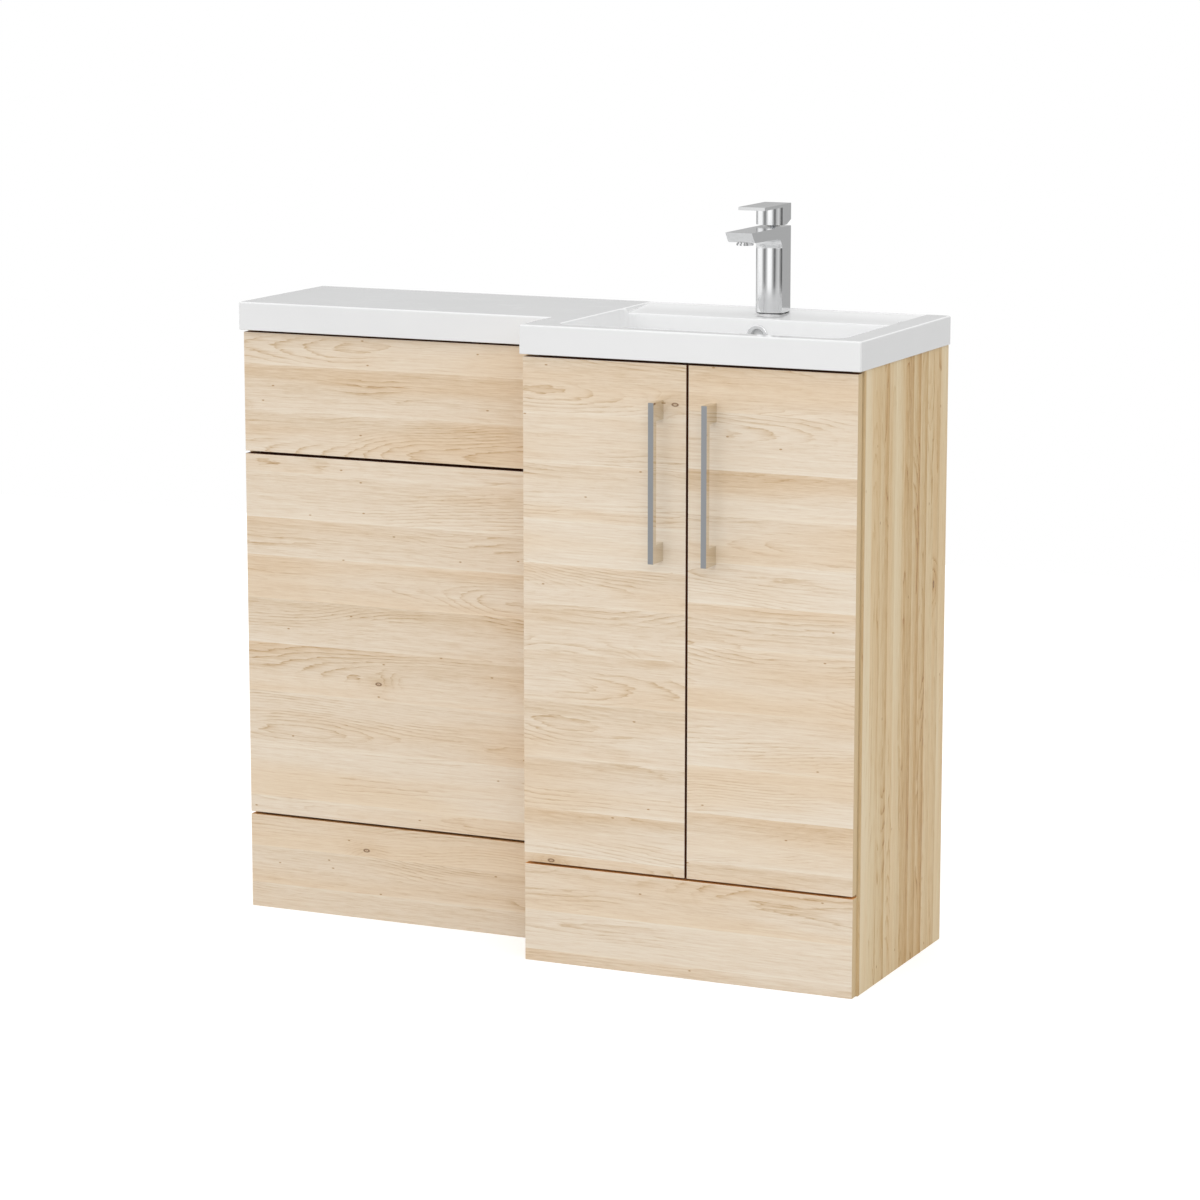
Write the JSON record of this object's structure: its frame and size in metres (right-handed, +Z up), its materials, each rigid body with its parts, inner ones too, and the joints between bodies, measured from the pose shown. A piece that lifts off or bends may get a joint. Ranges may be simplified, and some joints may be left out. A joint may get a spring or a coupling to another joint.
{
  "type": "toilet and basin combination unit",
  "caption": "Shallow back-to-wall toilet unit joined to a deeper two-door basin unit under an L-shaped cast top with bowl and mixer tap.",
  "frame": {"origin": "on the floor, under the middle of the outer box (the handles are the front of the box and the wall side its back)", "axes": "+Z up, -Y the front that the doors open towards, +Y the wall, +X to the viewer's right, from the toilet unit to the basin unit"},
  "size_m": [1.004, 0.384, 1.0575],
  "materials": {
    "oak_front": "satin printed oak foil, grain across",
    "oak_board": "satin printed oak foil, grain upright",
    "beech_dowel": "raw",
    "handle_metal": "satin",
    "zinc_steel": "zinc plated",
    "nickel_hinge": "nickel plated",
    "white_plastic": "moulded",
    "cast_white": "gloss white gel coat",
    "white_ceramic": "lapped",
    "tap_chrome": "polished",
    "plain_brass": "turned",
    "black_rubber": "moulded"
  },
  "bodies": {
    "cabinet": {"wc_middle_panel": "oak_front", "wc_plinth": "oak_front", "vanity_plinth": "oak_front", "wc_side_left": "oak_board", "wc_side_right": "oak_board", "wc_top_rail": "oak_board", "wc_back_rail": "oak_board", "wc_middle_rail": "oak_board", "wc_lower_rail": "oak_board", "vanity_side_left": "oak_board", "vanity_side_right": "oak_board", "vanity_base": "oak_board", "vanity_front_rail": "oak_board", "vanity_back_rail_upper": "oak_board", "vanity_back_rail_lower": "oak_board", "vanity_shelf": "oak_board", "carcass_dowels": "beech_dowel", "carcass_screws": "zinc_steel", "joining_bolts": "zinc_steel", "shelf_pins": "zinc_steel", "tap_clamp_washer": "zinc_steel", "hinge_arms": "nickel_hinge", "hinge_plates": "nickel_hinge", "access_clip_sockets": "white_plastic", "panel_brackets": "white_plastic", "door_bumpers": "white_plastic", "overflow_duct": "white_plastic", "trap_body": "white_plastic", "trap_nuts": "white_plastic", "trap_cup": "white_plastic", "trap_outlet_pipe": "white_plastic", "cartridge_housing": "white_plastic", "basin_top": "cast_white", "ceramic_discs": "white_ceramic", "tap_body": "tap_chrome", "tap_aerator": "tap_chrome", "overflow_ring": "tap_chrome", "waste_body": "tap_chrome", "waste_backnut": "plain_brass", "tap_stud": "plain_brass", "tap_stud_nut": "plain_brass", "cartridge_nut": "plain_brass", "waste_seals": "black_rubber", "tap_seals": "black_rubber"},
    "left_door": {"left_door": "oak_front", "left_handle": "handle_metal", "left_handle_screws": "zinc_steel", "left_hinge_cups": "nickel_hinge"},
    "right_door": {"right_door": "oak_front", "right_handle": "handle_metal", "right_handle_screws": "zinc_steel", "right_hinge_cups": "nickel_hinge"},
    "access_panel": {"wc_access_panel": "oak_front", "access_clip_studs": "white_plastic"},
    "waste_plug": {"waste_plug": "tap_chrome"},
    "lever_swivel": {"swivel_carrier": "white_plastic", "tilt_pin": "zinc_steel"},
    "lever": {"lever_stem": "zinc_steel", "tap_lever": "tap_chrome", "lever_grub_screw": "zinc_steel"}
  },
  "joints": [
    {"name": "left_door_hinge", "type": "hinge", "parent": "cabinet", "child": "left_door", "pos_m": [0.0015, -0.1415, 0.5025], "axis": [0, 0, -1], "range_deg": [0, 100]},
    {"name": "right_door_hinge", "type": "hinge", "parent": "cabinet", "child": "right_door", "pos_m": [0.4965, -0.1415, 0.5025], "axis": [0, 0, 1], "range_deg": [0, 100]},
    {"name": "access_panel_pull", "type": "slide", "parent": "cabinet", "child": "access_panel", "axis": [0, -1, 0], "range_m": [0, 0.06]},
    {"name": "waste_plug_click", "type": "slide", "parent": "cabinet", "child": "waste_plug", "axis": [0, 0, 1], "range_m": [0, 0.008]},
    {"name": "lever_swivel", "type": "hinge", "parent": "cabinet", "child": "lever_swivel", "pos_m": [0.249, 0.148, 1.01], "axis": [0, 0, 1], "range_deg": [-45, 45]},
    {"name": "lever_tilt", "type": "hinge", "parent": "lever_swivel", "child": "lever", "pos_m": [0.249, 0.148, 1.01], "axis": [-1, 0, 0], "range_deg": [0, 20]}
  ]
}
